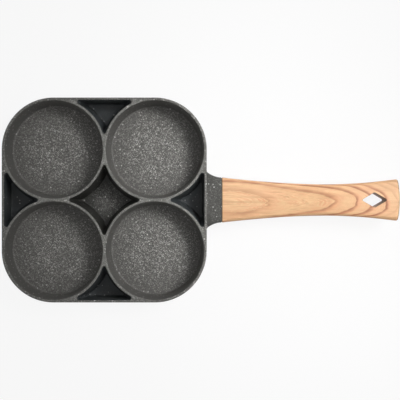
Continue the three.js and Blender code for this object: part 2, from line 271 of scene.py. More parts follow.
def piece_from(name, *skins, ends="flat"):
    shape = bmesh.new()
    for rings in skins:
        add_skin(shape, rings, ends)
    bmesh.ops.recalc_face_normals(shape, faces=shape.faces)
    mesh = bpy.data.meshes.new(name)
    shape.to_mesh(mesh)
    shape.free()
    piece = bpy.data.objects.new(name, mesh)
    bpy.context.collection.objects.link(piece)
    return piece


def combine(piece, tool, operation):
    modifier = piece.modifiers.new(tool.name, "BOOLEAN")
    modifier.operation = operation
    modifier.solver = "MANIFOLD"
    modifier.object = tool
    graph = bpy.context.evaluated_depsgraph_get()
    whole = bpy.data.meshes.new_from_object(piece.evaluated_get(graph))
    piece.modifiers.clear()
    piece.data = whole
    bpy.data.objects.remove(tool)


print("outline helpers ready")

# %% [markdown]
# ## The skirt
# The outside of the casting is a square with very round corners, and each corner shares its centre with a
# cup. It leans in a little towards the base so that the casting leaves its mould, turns under with a wide
# round, and ends at the top in a small rounded lip. One profile of insets and heights drives all the
# rings.

# %% Skirt of the casting
CUP_MOUTH_RADIUS = 45.5 * MM
WEB_BETWEEN_CUPS = 2.8 * MM
RIM_WALL = 2.6 * MM
SKIRT_DRAFT = math.radians(3)
BASE_EDGE_RADIUS = 5 * MM
LIP_RADIUS = 0.9 * MM
ROUND_STEPS = 8
CORNER_STEPS = 40
cup_offset = CUP_MOUTH_RADIUS + WEB_BETWEEN_CUPS / 2
corner_radius = CUP_MOUTH_RADIUS + RIM_WALL
pan_half = cup_offset + corner_radius


def skirt_profile():
    lean = math.tan(SKIRT_DRAFT)
    reach = 1 / math.cos(SKIRT_DRAFT)
    wall = 2 * QUARTER + SKIRT_DRAFT
    base_inset = (rim_z - BASE_EDGE_RADIUS) * lean + BASE_EDGE_RADIUS * reach
    lip_inset = LIP_RADIUS * (lean + reach)
    return [
        *arc(base_inset, BASE_EDGE_RADIUS, BASE_EDGE_RADIUS, 3 * QUARTER, wall, ROUND_STEPS),
        *arc(lip_inset, rim_z - LIP_RADIUS, LIP_RADIUS, wall, QUARTER, ROUND_STEPS),
    ]


def skirt_outline(inset):
    corner = arc(cup_offset, cup_offset, corner_radius - inset, 0, QUARTER, CORNER_STEPS)
    return joined(*[turned(corner, count * QUARTER) for count in range(4)])


cup_casting = piece_from("cup_casting", [level(skirt_outline(inset), z) for inset, z in skirt_profile()])
print("skirt:", len(cup_casting.data.polygons), "faces")

# %% [markdown]
# ## The neck and the tang
# The neck is cast on one side, a little lower than the rim, and flares where it meets the skirt. Behind
# it, out of sight in the wood, runs the tang that the screw goes into.
# Both are bars with rounded edges. The neck's root stands inside the skirt, and small fillets lead its
# top, sides and underside into the wall, as the metal would flow.

# %% Neck with its fillets, and the tang
FRONT_WIDTH = 42 * MM
NECK_DROP = 2 * MM
NECK_FLARE = 5.2 * MM
NECK_END_CHAMFER = 0.6 * MM
EDGE_RADIUS = 3.5 * MM
NECK_STEPS = 28
NECK_CROWDING = 1.6
TOP_FILLET = 1.2 * MM
SIDE_FILLET = 2.2 * MM
UNDER_FILLET = 1.5 * MM
TANG_LENGTH = 36 * MM
TANG_WIDTH = 16 * MM
TANG_THICKNESS = 7 * MM
TANG_EDGE = 1 * MM
TANG_BELOW_TOP = 5 * MM
EDGE_STEPS = 8
FACE_STEPS = 12
neck_top = rim_z - NECK_DROP
neck_bottom = handle_low.z


def straight(start, end, steps):
    return [tuple(a + (b - a) * step / steps for a, b in zip(start, end)) for step in range(steps + 1)]


def rounded_bar(half_width, bottom, top, radius):
    side = half_width - radius
    return joined(
        arc(side, top - radius, radius, 0, QUARTER, EDGE_STEPS),
        straight((side, top), (-side, top), FACE_STEPS),
        arc(-side, top - radius, radius, QUARTER, 2 * QUARTER, EDGE_STEPS),
        arc(-side, bottom + radius, radius, 2 * QUARTER, 3 * QUARTER, EDGE_STEPS),
        straight((-side, bottom), (side, bottom), FACE_STEPS),
        arc(side, bottom + radius, radius, 3 * QUARTER, 4 * QUARTER, EDGE_STEPS),
    )


def skirt_x(z):
    return pan_half - (rim_z - z) * math.tan(SKIRT_DRAFT)


def fillet(distance, radius):
    short = radius - min(max(distance, 0), radius)
    return radius - math.sqrt(radius**2 - short**2)


def neck_section(x, inset=0):
    share = max(0, x - pan_half) / (neck_end - pan_half)
    half_width = FRONT_WIDTH / 2 + NECK_FLARE * (1 - share) ** 2
    side = fillet(x - skirt_x((neck_top + neck_bottom) / 2), SIDE_FILLET) - inset
    top = neck_top + fillet(x - skirt_x(neck_top), TOP_FILLET) - inset
    bottom = neck_bottom - fillet(x - skirt_x(neck_bottom), UNDER_FILLET) + inset
    return across(rounded_bar(half_width + side, bottom, top, EDGE_RADIUS - inset), x)


def neck_rings():
    start = skirt_x(neck_bottom)
    length = neck_end - NECK_END_CHAMFER - start
    shares = [(step / NECK_STEPS) ** NECK_CROWDING for step in range(NECK_STEPS + 1)]
    places = [start - BASE_EDGE_RADIUS, *[start + length * share for share in shares]]
    return [*[neck_section(x) for x in places], neck_section(neck_end, NECK_END_CHAMFER)]


def tang_rings():
    top = neck_top - TANG_BELOW_TOP
    bottom = top - TANG_THICKNESS
    end = neck_end + TANG_LENGTH
    stops = [(neck_end - TANG_THICKNESS, 0), (end - TANG_EDGE, 0), (end, TANG_EDGE / 2)]
    return [
        across(rounded_bar(TANG_WIDTH / 2 - inset, bottom + inset, top - inset, TANG_EDGE), x)
        for x, inset in stops
    ]


for name, rings in (("neck", neck_rings()), ("tang", tang_rings())):
    combine(cup_casting, piece_from(name, rings), "UNION")
print("skirt, neck and tang:", len(cup_casting.data.polygons), "faces")

# %% [markdown]
# ## Cups and pockets
# The hollows are made as the core of the mould would be: solid plugs, each a skin over rings from the
# floor to just past the rim. A plug's profile has the fillet at the floor, the lean of the wall and the
# round of the lip. A cup's outline is a circle. A pocket's outline runs along the walls of its neighbours
# at a fixed distance, with a rounded tip where two walls close in on each other. All the plugs are cut
# out in one go.

# %% Profile of a hollow
FLOOR_THICKNESS = 4 * MM
PAST_RIM = 2 * MM


def hollow_profile(draft, floor_fillet):
    lean = math.tan(draft)
    reach = 1 / math.cos(draft)
    fillet_inset = (rim_z - FLOOR_THICKNESS - floor_fillet) * lean + floor_fillet * reach
    lip_inset = LIP_RADIUS * (lean - reach)
    floor_round = (fillet_inset, FLOOR_THICKNESS + floor_fillet, floor_fillet)
    return [
        *arc(*floor_round, 3 * QUARTER, 2 * QUARTER + draft, ROUND_STEPS),
        *arc(lip_inset, rim_z - LIP_RADIUS, LIP_RADIUS, draft, QUARTER, ROUND_STEPS),
        (lip_inset, rim_z + PAST_RIM),
    ]


print(f"hollows {(rim_z - FLOOR_THICKNESS) / MM:.0f} mm deep")

# %% Plugs for the four cups
CUP_DRAFT = math.radians(6)
CUP_FLOOR_FILLET = 2.2 * MM
CUP_SIDES = 144


def cup_plug(x, y):
    profile = hollow_profile(CUP_DRAFT, CUP_FLOOR_FILLET)
    return [level(circle(x, y, CUP_MOUTH_RADIUS - inset, CUP_SIDES), z) for inset, z in profile]


cup_centres = [(x, y) for x in (-cup_offset, cup_offset) for y in (-cup_offset, cup_offset)]
plugs = [cup_plug(x, y) for x, y in cup_centres]
print("cup plugs:", len(plugs))

# %% Plugs for the five pockets
POCKET_WALL = 2.4 * MM
POCKET_DRAFT = math.radians(8)
POCKET_FLOOR_FILLET = 2 * MM
POCKET_TIP_RADIUS = 1.8 * MM
POCKET_CORNER_RADIUS = 2 * MM
SKIRT_WALL = 2.3 * MM
POCKET_STEPS = 20


def pocket_tip(wall_radius):
    along = math.sqrt((wall_radius + POCKET_TIP_RADIUS) ** 2 - cup_offset**2)
    return along, math.atan2(cup_offset, along)


def star_outline(inset, _):
    wall = CUP_MOUTH_RADIUS + POCKET_WALL + inset
    along, turn = pocket_tip(wall)
    quarter = [
        *arc(cup_offset - along, 0, POCKET_TIP_RADIUS, -turn, turn, POCKET_STEPS),
        *arc(cup_offset, cup_offset, wall, 2 * QUARTER + turn, 3 * QUARTER - turn, POCKET_STEPS),
    ]
    return joined(*[turned(quarter, count * QUARTER) for count in range(4)])


def side_outline(inset, skirt_inset):
    wall = CUP_MOUTH_RADIUS + POCKET_WALL + inset
    along, turn = pocket_tip(wall)
    corner_x = pan_half - SKIRT_WALL - skirt_inset - POCKET_CORNER_RADIUS
    drop = math.sqrt((wall + POCKET_CORNER_RADIUS) ** 2 - (corner_x - cup_offset) ** 2)
    bend = math.atan2(drop, cup_offset - corner_x)
    half = 2 * QUARTER
    return joined(
        arc(corner_x, cup_offset - drop, POCKET_CORNER_RADIUS, 0, bend, POCKET_STEPS),
        arc(cup_offset, cup_offset, wall, bend - half, -turn, POCKET_STEPS),
        arc(cup_offset + along, 0, POCKET_TIP_RADIUS, half - turn, half + turn, POCKET_STEPS),
        arc(cup_offset, -cup_offset, wall, turn, half - bend, POCKET_STEPS),
        arc(corner_x, drop - cup_offset, POCKET_CORNER_RADIUS, -bend, 0, POCKET_STEPS),
    )


def pocket_plug(outline, turn):
    less_lean = math.tan(POCKET_DRAFT) - math.tan(SKIRT_DRAFT)
    rings = []
    for inset, z in hollow_profile(POCKET_DRAFT, POCKET_FLOOR_FILLET):
        skirt_inset = inset - max(0, rim_z - z) * less_lean
        rings.append(level(turned(outline(inset, skirt_inset), turn), z))
    return rings


plugs.append(pocket_plug(star_outline, 0))
plugs += [pocket_plug(side_outline, count * QUARTER) for count in range(4)]
combine(cup_casting, piece_from("plugs", *plugs), "DIFFERENCE")
print("casting with its hollows:", len(cup_casting.data.polygons), "faces")

# %% [markdown]
# ## The underside
# The photograph doesn't show the underside. Such a casting is turned flat after it is poured, and the
# tool leaves shallow rings round the middle. They are real cuts here, so that they also show in the
# exported mesh. The tang's screw hole is drilled in the same step.

# %% Turned rings and the screw hole
BASE_RING_FIRST = 12 * MM
BASE_RING_PITCH = 6 * MM
BASE_RING_COUNT = 12
BASE_RING_WIDTH = 2.4 * MM
BASE_RING_DEPTH = 0.35 * MM
# The tool's tip: half widths of a ring from its middle, and depths of a ring above the base
TOOL_TIP = [(-1.1, -0.2), (-0.5, 0.75), (0, 1), (0.5, 0.75), (1.1, -0.2), (0, -1)]
RING_SIDES = 128
FIT_GAP = 0.3 * MM
SCREW_SIDES = 48
SHANK_RADIUS = 2.5 * MM
screw_low, screw_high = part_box("handle_screw")
washer_low, washer_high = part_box("flat_washer")
screw_x = (washer_low.x + washer_high.x) / 2
seat_z = washer_high.z
hole_radius = SHANK_RADIUS + FIT_GAP


def turned_ring(radius):
    half = BASE_RING_WIDTH / 2
    profile = [(radius + half * out, BASE_RING_DEPTH * up) for out, up in TOOL_TIP]
    return [level(circle(0, 0, r, RING_SIDES), z) for r, z in profile]


def drill(radius, low, high):
    return [level(circle(screw_x, 0, radius, SCREW_SIDES), z) for z in (low, high)]


grooves = [turned_ring(BASE_RING_FIRST + BASE_RING_PITCH * count) for count in range(BASE_RING_COUNT)]
combine(cup_casting, piece_from("grooves", *grooves, ends="joined"), "DIFFERENCE")
combine(cup_casting, piece_from("tapping", drill(hole_radius, neck_bottom, rim_z)), "DIFFERENCE")
print("casting finished:", len(cup_casting.data.polygons), "faces")

# %% [markdown]
# ## The wooden handle
# The handle is shaped from one piece of wood: wide where it meets the neck, waisted where the hand closes
# round it, wide again at its free end, and rising a little on the way.
# It could be a box with subdivision, pulled into shape by eye. The waist and the rise are measured sizes,
# though, so two curves that meet at the waist give the sides, and a rounded section stands at every
# station along them.

# %% Curves of the handle
WAIST_WIDTH = 29 * MM
END_WIDTH = 38 * MM
WAIST_FROM_FRONT = 96 * MM
FRONT_SWEEP = 58 * MM
END_SWEEP = 38 * MM
END_ROUND = 1.4 * MM
WAIST_THICKNESS = 18.5 * MM
END_THICKNESS = 21.5 * MM
HANDLE_RISE = 10.5 * MM
LEVEL_STRETCH = 40 * MM
HANDLE_STEPS = 28
handle_length = handle_high.x - neck_end
front_thickness = neck_top - neck_bottom
mortise_depth = TANG_LENGTH + FIT_GAP


def bezier(start, bend, end, steps):
    shares = [step / steps for step in range(steps + 1)]
    return [
        tuple((1 - t) ** 2 * a + 2 * t * (1 - t) * b + t**2 * c for a, b, c in zip(start, bend, end))
        for t in shares
    ]


def smooth_step(value, start, end):
    share = min(max((value - start) / (end - start), 0), 1)
    return share**2 * (3 - 2 * share)


def side_curve():
    waist = (WAIST_FROM_FRONT, WAIST_WIDTH / 2)
    end = (handle_length - END_ROUND, END_WIDTH / 2)
    return joined(
        bezier((0, FRONT_WIDTH / 2), (FRONT_SWEEP, WAIST_WIDTH / 2), waist, HANDLE_STEPS),
        bezier(waist, (handle_length - END_SWEEP, WAIST_WIDTH / 2), end, HANDLE_STEPS),
    )


def middle_z(x):
    rise = HANDLE_RISE * smooth_step(x, mortise_depth, handle_length - LEVEL_STRETCH)
    return neck_top - front_thickness / 2 + rise


def thickness(x):
    thinner = (WAIST_THICKNESS - front_thickness) * smooth_step(x, mortise_depth, WAIST_FROM_FRONT)
    thicker = (END_THICKNESS - WAIST_THICKNESS) * smooth_step(x, WAIST_FROM_FRONT, handle_length)
    return front_thickness + thinner + thicker


waist_mm = thickness(WAIST_FROM_FRONT) / MM
print(f"handle {handle_length / MM:.1f} mm long, {waist_mm:.1f} mm thick at the waist")

# %% Skin of the handle
END_BOW = 1.8 * MM
END_ROUND_SWEEP = math.radians(72)
FRONT_CHAMFER = 0.6 * MM
FACE_CROWN = 0.5 * MM


def handle_section(x, half_width, inset):
    half = thickness(x) / 2 - inset
    bow = END_BOW * smooth_step(x, handle_length - END_SWEEP, handle_length)
    crown = FACE_CROWN * smooth_step(x, 0, mortise_depth)
    ring = []
    for y, z in rounded_bar(half_width - inset, -half, half, EDGE_RADIUS - inset):
        outward = (y / half_width) ** 2
        flatter = z * (1 - crown * outward / half)
        ring.append((neck_end + x - bow * outward, y, middle_z(x) + flatter))
    return ring


def handle_rings():
    stations = side_curve()
    first_half = stations[0][1]
    end_x, end_half = stations[-1]
    rings = [handle_section(0, first_half, FRONT_CHAMFER), handle_section(FRONT_CHAMFER, first_half, 0)]
    rings += [handle_section(x, half_width, 0) for x, half_width in stations[1:]]
    for step in range(1, ROUND_STEPS + 1):
        angle = END_ROUND_SWEEP * step / ROUND_STEPS
        x = end_x + END_ROUND * math.sin(angle) / math.sin(END_ROUND_SWEEP)
        rings.append(handle_section(x, end_half, END_ROUND * (1 - math.cos(angle))))
    return rings


wood_handle = piece_from("wood_handle", handle_rings(), ends="strips")
print("handle:", len(wood_handle.data.polygons), "faces")

# %% [markdown]
# ## Holes in the handle
# A diamond-shaped hole with soft edges goes through the free end, so that the pan can hang on a hook. The
# front has the mortise for the tang, and from below a stepped hole takes the screw: a wide counterbore
# for its head and a narrow hole for its shank. Each is a plug that is cut out, as in the casting.

# %% Hanging hole, mortise and screw hole
HOLE_LENGTH = 21.4 * MM
HOLE_WIDTH = 13.6 * MM
HOLE_CORNER_RADIUS = 1.2 * MM
HOLE_FROM_END = 23.1 * MM
HOLE_EDGE = 0.6 * MM
COUNTERBORE_CHAMFER = 0.5 * MM
washer_radius = (washer_high.x - washer_low.x) / 2
tang_top = neck_top - TANG_BELOW_TOP
tang_bottom = tang_top - TANG_THICKNESS


def diamond(grown):
    long_reach = HOLE_LENGTH / 2 - HOLE_CORNER_RADIUS
    short_reach = HOLE_WIDTH / 2 - HOLE_CORNER_RADIUS
    side = math.atan2(long_reach, short_reach)
    radius = HOLE_CORNER_RADIUS + grown
    half = 2 * QUARTER
    return joined(
        arc(long_reach, 0, radius, -side, side, ROUND_STEPS),
        arc(0, short_reach, radius, side, half - side, ROUND_STEPS),
        arc(-long_reach, 0, radius, half - side, half + side, ROUND_STEPS),
        arc(0, -short_reach, radius, half + side, 2 * half - side, ROUND_STEPS),
    )


def hole_ring(grown, above, face):
    centre = handle_length - HOLE_FROM_END
    ring = []
    for x, y in diamond(grown):
        z = middle_z(centre + x) + face * (thickness(centre + x) / 2 + above)
        ring.append((neck_end + centre + x, y, z))
    return ring


def hole_rings():
    turns = [QUARTER * step / ROUND_STEPS for step in range(ROUND_STEPS + 1)]
    mouth = [(HOLE_EDGE * (1 - math.cos(turn)), HOLE_EDGE * (math.sin(turn) - 1)) for turn in turns]
    mouth.append((HOLE_EDGE, PAST_RIM))
    lower = [hole_ring(grown, above, -1) for grown, above in reversed(mouth)]
    return lower + [hole_ring(grown, above, 1) for grown, above in mouth]


def mortise_rings():
    opening = (TANG_WIDTH / 2 + FIT_GAP, tang_bottom - FIT_GAP, tang_top + FIT_GAP, TANG_EDGE)
    return [across(rounded_bar(*opening), x) for x in (neck_end - PAST_RIM, neck_end + mortise_depth)]


def counterbore_rings():
    radius = washer_radius + FIT_GAP
    stops = [
        (radius + 2 * COUNTERBORE_CHAMFER, neck_bottom - COUNTERBORE_CHAMFER),
        (radius, neck_bottom + COUNTERBORE_CHAMFER),
        (radius, seat_z),
    ]
    return [level(circle(screw_x, 0, stop, SCREW_SIDES), z) for stop, z in stops]


cuts = {
    "hanging_hole": hole_rings(),
    "mortise": mortise_rings(),
    "counterbore": counterbore_rings(),
    "screw_hole": drill(hole_radius, seat_z - PAST_RIM, tang_bottom),
}
for name, rings in cuts.items():
    combine(wood_handle, piece_from(name, rings), "DIFFERENCE")
print("handle with its holes:", len(wood_handle.data.polygons), "faces")

# %% [markdown]
# ## Screw and washers
# The fixings sit in the counterbore under the handle. The plain washer is a small ring with eased edges.
# The split washer is the same section led round almost a full turn, with a slanted gap. The screw has a
# domed head with a cross recess, and its thread is made as rings too: each ring's radius rises and falls
# once round the turn, and the rise moves on with the height.

# %% Plain washer and split washer
WASHER_EDGE = 0.2 * MM
SPLIT_GAP = 0.8 * MM
SPLIT_SLANT = 0.5
spring_low, spring_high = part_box("spring_washer")
spring_radius = spring_high.y


def washer_section(outer, low, high):
    middle = (outer + hole_radius) / 2
    section = rounded_bar(middle - hole_radius, low, high, WASHER_EDGE)
    return [(middle + out, z) for out, z in section]


def split_rings():
    section = washer_section(spring_radius, spring_low.z, spring_high.z)
    half_gap = SPLIT_GAP / (2 * spring_radius)
    sweep = 4 * QUARTER - 2 * half_gap
    rings = []
    for step in range(SCREW_SIDES + 1):
        turn = half_gap + sweep * step / SCREW_SIDES
        ring = []
        for radius, z in section:
            angle = turn + SPLIT_SLANT * (z - spring_low.z) / spring_radius
            ring.append((screw_x + radius * math.cos(angle), radius * math.sin(angle), z))
        rings.append(ring)
    return rings


flat_section = washer_section(washer_radius, washer_low.z, washer_high.z)
flat_rings = [level(circle(screw_x, 0, radius, SCREW_SIDES), z) for radius, z in flat_section]
plain_washer = piece_from("plain_washer", flat_rings, ends="joined")
split_washer = piece_from("split_washer", split_rings(), ends="strips")
print(f"washers {2 * washer_radius / MM:.1f} and {2 * spring_radius / MM:.1f} mm across")

# %% Pan-head screw
HEAD_HEIGHT = 2.8 * MM
HEAD_ROUND = 1.6 * MM
HEAD_EDGE = 0.2 * MM
POINT_CHAMFER = 0.6 * MM
THREAD_PITCH = 0.8 * MM
THREAD_DEPTH = 0.45 * MM
RINGS_PER_TURN = 8
RECESS_LENGTH = 4.6 * MM
RECESS_WIDTH = 1.2 * MM
RECESS_DEPTH = 1.4 * MM
RECESS_TAPER = 0.3 * MM
head_radius = (screw_high.x - screw_low.x) / 2
head_top = screw_low.z + HEAD_HEIGHT


def thread_ring(z):
    fade = min(1, (z - head_top) / THREAD_PITCH)
    point = SHANK_RADIUS - POINT_CHAMFER + screw_high.z - z
    ring = []
    for side in range(SCREW_SIDES):
        wave = (z / THREAD_PITCH - side / SCREW_SIDES) % 1
        radius = min(SHANK_RADIUS - THREAD_DEPTH * fade * abs(2 * wave - 1), point)
        angle = 4 * QUARTER * side / SCREW_SIDES
        ring.append((screw_x + radius * math.cos(angle), radius * math.sin(angle), z))
    return ring


def screw_rings():
    dome = (head_radius - HEAD_ROUND, screw_low.z + HEAD_ROUND, HEAD_ROUND)
    head = [
        *arc(*dome, 3 * QUARTER, 4 * QUARTER, ROUND_STEPS),
        (head_radius, head_top - HEAD_EDGE),
        (head_radius - HEAD_EDGE, head_top),
    ]
    length = screw_high.z - head_top
    count = round(length / THREAD_PITCH * RINGS_PER_TURN)
    return [
        *[level(circle(screw_x, 0, radius, SCREW_SIDES), z) for radius, z in head],
        *[thread_ring(head_top + length * step / count) for step in range(count + 1)],
    ]


def recess_rings(turn):
    rings = []
    for z, less in ((screw_low.z - PAST_RIM, 0), (screw_low.z + RECESS_DEPTH, RECESS_TAPER)):
        length = RECESS_LENGTH / 2 - less
        width = RECESS_WIDTH / 2 - less
        corners = [(length, width), (-length, width), (-length, -width), (length, -width)]
        rings.append([(screw_x + x, y, z) for x, y in turned(corners, turn)])
    return rings


pan_head_screw = piece_from("pan_head_screw", screw_rings())
for count in range(2):
    combine(pan_head_screw, piece_from("recess", recess_rings(count * QUARTER)), "DIFFERENCE")
print("screw:", len(pan_head_screw.data.polygons), "faces")

# %% [markdown]
# ## Soft and sharp edges
# The rounds are real arcs, so smooth shading shows them as they are. Only true corners stay sharp: every
# edge that bends more than a set angle. Weighted normals then keep the wide flats flat right up to their
# rounds.

# %% Shading of all the pieces
SHARP_BEND = math.radians(35)
pieces = [cup_casting, wood_handle, pan_head_screw, plain_washer, split_washer]
for piece in pieces:
    piece.data.shade_smooth()
    piece.data.set_sharp_from_angle(angle=SHARP_BEND)
    weighted = piece.modifiers.new("weighted", "WEIGHTED_NORMAL")
    weighted.keep_sharp = True
print("shaded:", [piece.name for piece in pieces])

# %% [markdown]
# ## Stone coat
# The coat is sprayed on from above: a dark ground full of small pale grains, with a few larger flecks.
# The middle of each cup catches most of the grains and its steep wall only a few. Fewer grains reach the
# edge of each floor, and this thinning also paints the shade that falls there by the walls. Little spray
# gets down into the pockets and hardly any reaches the tips of the star; their dark ground is the thin
# coat and painted shade from the narrow walls. The neck lies at the edge of the spray, and the top of
# each rim is paler. An image of the speckle would have to be wrapped round all the walls. The cells of
# a Voronoi texture need no wrapping: each cell is one grain, and its random colour says how pale the
# grain is.
# What jumps from one part of the casting to the next is written on the points of the mesh, as an
# attribute. What fades slowly is worked out in the shader, from the distance to the nearest cup and the
# slope of the surface.

# %% Spray and painted shade on each part of the casting
# In the pockets and the star, the low values mean thin spray and also painted shade down in the hollows.
NECK_SPRAY = 0.34
STAR_SPRAY_AND_SHADE = 0.5
POCKET_SPRAY_AND_SHADE = 0.12
NEARLY = 0.99


def spray_and_shade_at(point):
    x, y, z = point
    if x > pan_half:
        return NECK_SPRAY
    nearer, farther = sorted((abs(x), abs(y)))
    from_cup = min(math.dist((x, y), centre) for centre in cup_centres)
    in_hollow = FLOOR_THICKNESS * NEARLY < z < rim_z - LIP_RADIUS / 2
    beside_cups = nearer < cup_offset and from_cup > CUP_MOUTH_RADIUS + POCKET_WALL / 2
    inside_skirt = farther < skirt_x(z) - SKIRT_WALL / 2
    if not (in_hollow and beside_cups and inside_skirt):
        return 1
    return STAR_SPRAY_AND_SHADE if farther < cup_offset else POCKET_SPRAY_AND_SHADE


spray_and_shade = cup_casting.data.attributes.new("spray_and_shade", "FLOAT", "POINT")
spray_and_shade.data.foreach_set("value", [spray_and_shade_at(vertex.co) for vertex in cup_casting.data.vertices])
print("points with less than full spray:", sum(spot.value < 1 for spot in spray_and_shade.data))

# %% Spray that fades, with painted shade at the floor edges and the star's tips
# From FULL_SPRAY_RADIUS out to the floor's edge the grains thin out: thinner spray, and painted shade by
# the walls.
FULL_SPRAY_RADIUS = 19 * MM
FLOOR_EDGE_SHADED_SPRAY = 0.35
RIM_SPRAY = 0.6
# Towards the star's tips the share drops: painted shade where the star's walls close in.
TIP_SHADE_SPRAY = 0.05
TIP_NEAR = 9 * MM
TIP_FAR = 17 * MM
STAR_MIDDLE = 6 * MM
STAR_EDGE = 20 * MM
STAR_GRAINS = 0.65
STEEP_FACING = 0.1
LEVEL_FACING = 0.98
STEEP_SPRAY = 0.25
FLAT = (1, 1, 0)
floor_radius = CUP_MOUTH_RADIUS - (rim_z - FLOOR_THICKNESS) * math.tan(CUP_DRAFT)


def facing(tree, axis):
    normal = add_node(tree, "NewGeometry").outputs["Normal"]
    return add_node(tree, "SeparateXYZ", {"Vector": normal}).outputs[axis]


def flat_length(tree, offset):
    flat = calculate_vector(tree, "MULTIPLY", offset, FLAT)
    return add_node(tree, "VectorMath", {0: flat}, operation="LENGTH").outputs["Value"]


def offset_from_cup(tree, quarter):
    return calculate_vector(tree, "SUBTRACT", quarter, (cup_offset, cup_offset, 0))


def spray_reach_and_edge_shade(tree, radius):
    in_cup_edge_shade = spread(tree, radius, FULL_SPRAY_RADIUS, floor_radius, 1, FLOOR_EDGE_SHADED_SPRAY)
    on_rim = spread(tree, radius, CUP_MOUTH_RADIUS - LIP_RADIUS, CUP_MOUTH_RADIUS, 0, RIM_SPRAY)
    return calculate(tree, "MAXIMUM", in_cup_edge_shade, on_rim)


# Lowers the share towards the star's tips, which paints the shade where the walls close in.
def spray_with_tip_shade(tree, radius, part_spray_and_shade):
    tip_end = CUP_MOUTH_RADIUS + TIP_NEAR
    tip_start = CUP_MOUTH_RADIUS + TIP_FAR
    tip_shade = spread(tree, radius, tip_end, tip_start, TIP_SHADE_SPRAY, 1)
    open_face = spread(tree, part_spray_and_shade, STAR_SPRAY_AND_SHADE, 1, 0, 1)
    return calculate(tree, "MULTIPLY", part_spray_and_shade, calculate(tree, "MAXIMUM", tip_shade, open_face))


def grains_landing(tree, quarter, radius, spray_and_shade_share):
    landing = calculate(tree, "MULTIPLY", spray_and_shade_share, spray_reach_and_edge_shade(tree, radius))
    in_star = spread(tree, flat_length(tree, quarter), STAR_MIDDLE, STAR_EDGE, STAR_GRAINS, 0)
    landing = calculate(tree, "MAXIMUM", landing, in_star)
    upward = spread(tree, facing(tree, "Z"), STEEP_FACING, LEVEL_FACING, STEEP_SPRAY, 1)
    return calculate(tree, "MULTIPLY", landing, upward)


print(f"spray fades {FULL_SPRAY_RADIUS / MM:.0f} to {floor_radius / MM:.0f} mm from a cup's middle")

# %% Ground of the coat, painted shade in the hollows, and paler rims
# The pockets' colour is the thin coat, with the shade of their narrow walls painted into it.
COAT_BARE_SHADED = (0.052, 0.058, 0.061, 1)
COAT_THIN = (0.05, 0.05, 0.045, 1)
# Near-black painted shade for the star, deepest at its tips.
COAT_TIP_SHADE = (0.026, 0.026, 0.023, 1)
COAT_GROUND = (0.121, 0.118, 0.111, 1)
COAT_RIM = (0.20, 0.20, 0.186, 1)
# The top of each rim is paler, and the outer rim less so.
RIM_PALE_DEPTH = 0.5 * MM
RIM_PALE_FULL = 0.05 * MM
OUTER_RIM_PALE = 0.25


def rim_paler(tree, quarter):
    height = add_node(tree, "SeparateXYZ", {"Vector": quarter}).outputs["Z"]
    top = spread(tree, height, rim_z - RIM_PALE_DEPTH, rim_z - RIM_PALE_FULL, 0, 1)
    past_cup = calculate_vector(tree, "MAXIMUM", offset_from_cup(tree, quarter))
    outward = flat_length(tree, past_cup)
    inner = spread(tree, outward, CUP_MOUTH_RADIUS - RIM_WALL, CUP_MOUTH_RADIUS, 1, OUTER_RIM_PALE)
    return calculate(tree, "MULTIPLY", top, inner)


def coat_ground(tree, quarter, part_spray_and_shade, spray_and_shade_share):
    neck_to_star = spread(tree, part_spray_and_shade, NECK_SPRAY, STAR_SPRAY_AND_SHADE, 0, 1)
    pocket_to_neck = spread(tree, part_spray_and_shade, POCKET_SPRAY_AND_SHADE, NECK_SPRAY, 0, 1)
    thin_and_tip_shade = mix_colours(tree, neck_to_star, COAT_THIN, COAT_TIP_SHADE)
    bare_and_shaded = mix_colours(tree, pocket_to_neck, COAT_BARE_SHADED, thin_and_tip_shade)
    ground = mix_colours(tree, spray_and_shade_share, bare_and_shaded, COAT_GROUND)
    return mix_colours(tree, rim_paler(tree, quarter), ground, COAT_RIM)


print(f"rims worn {RIM_PALE_DEPTH / MM} mm down")

# %% Grains and flecks
GRAIN = 0.62 * MM
GRAIN_CONTRAST = 4.4
CLOUD = 22 * MM
CLOUD_DETAIL = 3
CLOUD_SHARE = (0.3, 0.7, 0.75, 1.15)
FLECK = 3 * MM
FLECK_RADIUS = 0.27
FLECK_CORE = 0.15
FLECK_CHANCE = 0.55
FLECK_REACH = 0.15


def random_of(tree, cells, channel):
    return add_node(tree, "SeparateColor", {"Color": cells.outputs["Color"]}).outputs[channel]


def coat_grains(tree, place, landing):
    cells = add_node(tree, "TexVoronoi", {"Vector": place, "Scale": 1 / GRAIN})
    cloud = add_node(tree, "TexNoise", {"Vector": place, "Scale": 1 / CLOUD, "Detail": CLOUD_DETAIL})
    pale = calculate(tree, "POWER", random_of(tree, cells, "Red"), GRAIN_CONTRAST)
    pale = calculate(tree, "MULTIPLY", pale, spread(tree, cloud.outputs["Fac"], *CLOUD_SHARE))
    return calculate(tree, "MULTIPLY", pale, landing)


def coat_flecks(tree, place, landing):
    cells = add_node(tree, "TexVoronoi", {"Vector": place, "Scale": 1 / FLECK})
    dot = spread(tree, cells.outputs["Distance"], FLECK_RADIUS, FLECK_CORE, 0, 1)
    chance = spread(tree, random_of(tree, cells, "Green"), FLECK_CHANCE, 1, 0, 1)
    fleck = calculate(tree, "MULTIPLY", dot, chance)
    return calculate(tree, "MULTIPLY", fleck, calculate(tree, "POWER", landing, FLECK_REACH))


print(f"grains {GRAIN / MM} mm apart, flecks {FLECK / MM} mm apart")

# %% Stone coat finish
COAT_GRAIN = (0.68, 0.67, 0.63, 1)
COAT_FLECK = (0.80, 0.79, 0.76, 1)
COAT_ROUGHNESS = (0, 1, 0.45, 0.6)
COAT_SPECULAR = 0.25
COAT_BUMP = 0.05 * MM
COAT_BUMP_STRENGTH = 0.6


